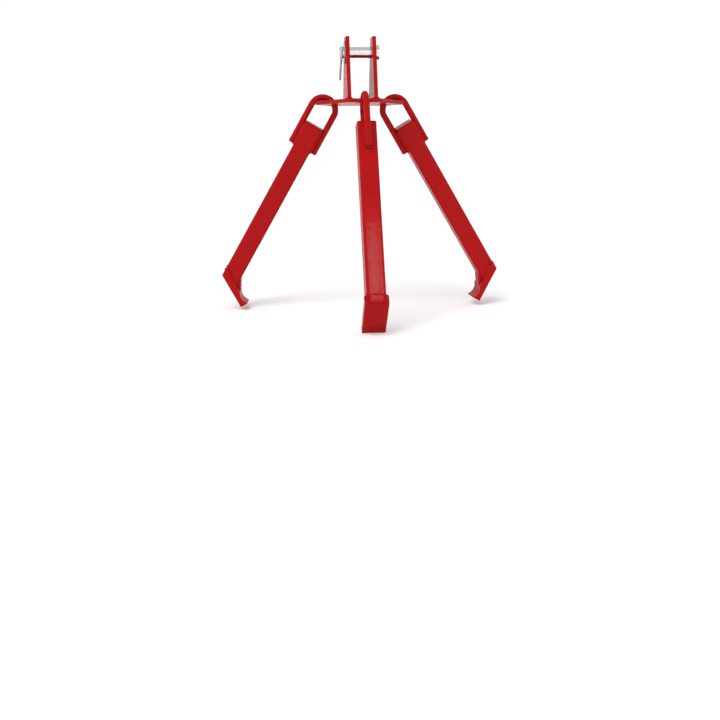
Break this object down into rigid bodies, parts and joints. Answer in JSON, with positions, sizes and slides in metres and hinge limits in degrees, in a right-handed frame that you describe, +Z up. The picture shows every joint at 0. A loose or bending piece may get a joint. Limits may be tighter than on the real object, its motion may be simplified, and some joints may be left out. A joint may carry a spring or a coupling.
{
  "type": "drum lifter",
  "caption": "Drum lifter: a pinned clevis on a triangular plate carries hooked square-tube arms that swing on welded round-bar bows and grip a drum under its rim.",
  "frame": {"origin": "centre of the clevis pin, midway between the cheeks", "axes": "+X along the pin towards its head, -Y towards the front arm, +Z up"},
  "size_m": [0.4614, 0.265, 0.4403],
  "materials": {
    "red_enamel": "glossy red enamel on steel",
    "zinc_plate": "bright zinc plate, turned",
    "spring_wire": "zinc-plated spring wire"
  },
  "bodies": {
    "pin": {"clevis_pin": "zinc_plate"},
    "washer": {"pin_washer": "zinc_plate"},
    "clip": {"spring_clip": "spring_wire"},
    "hanger": {"left_cheek": "red_enamel", "right_cheek": "red_enamel", "base_plate": "red_enamel", "cheek_welds": "red_enamel"},
    "arm_front": {"front_arm_tube": "red_enamel", "front_tube_cap": "red_enamel", "front_bow": "red_enamel", "front_bow_welds": "red_enamel", "front_foot": "red_enamel", "front_foot_weld": "red_enamel"},
    "arm_left": {"left_arm_tube": "red_enamel", "left_tube_cap": "red_enamel", "left_bow": "red_enamel", "left_bow_welds": "red_enamel", "left_foot": "red_enamel", "left_foot_weld": "red_enamel"},
    "arm_right": {"right_arm_tube": "red_enamel", "right_tube_cap": "red_enamel", "right_bow": "red_enamel", "right_bow_welds": "red_enamel", "right_foot": "red_enamel", "right_foot_weld": "red_enamel"}
  },
  "joints": [
    {"name": "hanger_swing", "type": "hinge", "parent": "pin", "child": "hanger", "pos_m": [0, 0, 0], "axis": [1, 0, 0], "range_deg": [-55, 65]},
    {"name": "washer_spin", "type": "hinge", "parent": "pin", "child": "washer", "pos_m": [-0.0251, 0, 0], "axis": [1, 0, 0], "continuous": true},
    {"name": "clip_pull", "type": "slide", "parent": "pin", "child": "clip", "axis": [-0.0698, 0, -0.9976], "range_m": [0, 0.02]},
    {"name": "front_arm_swing", "type": "hinge", "parent": "hanger", "child": "arm_front", "pos_m": [0.00061, -0.07148, -0.08184], "axis": [-0.9994, -0.0349, 0], "range_deg": [-23.5, 55]},
    {"name": "left_arm_swing", "type": "hinge", "parent": "hanger", "child": "arm_left", "pos_m": [-0.05857, 0.01844, -0.08971], "axis": [0.0872, 0.9962, 0], "range_deg": [-29, 55]},
    {"name": "right_arm_swing", "type": "hinge", "parent": "hanger", "child": "arm_right", "pos_m": [0.05857, 0.01844, -0.08971], "axis": [0.0872, -0.9962, 0], "range_deg": [-30, 55]}
  ]
}
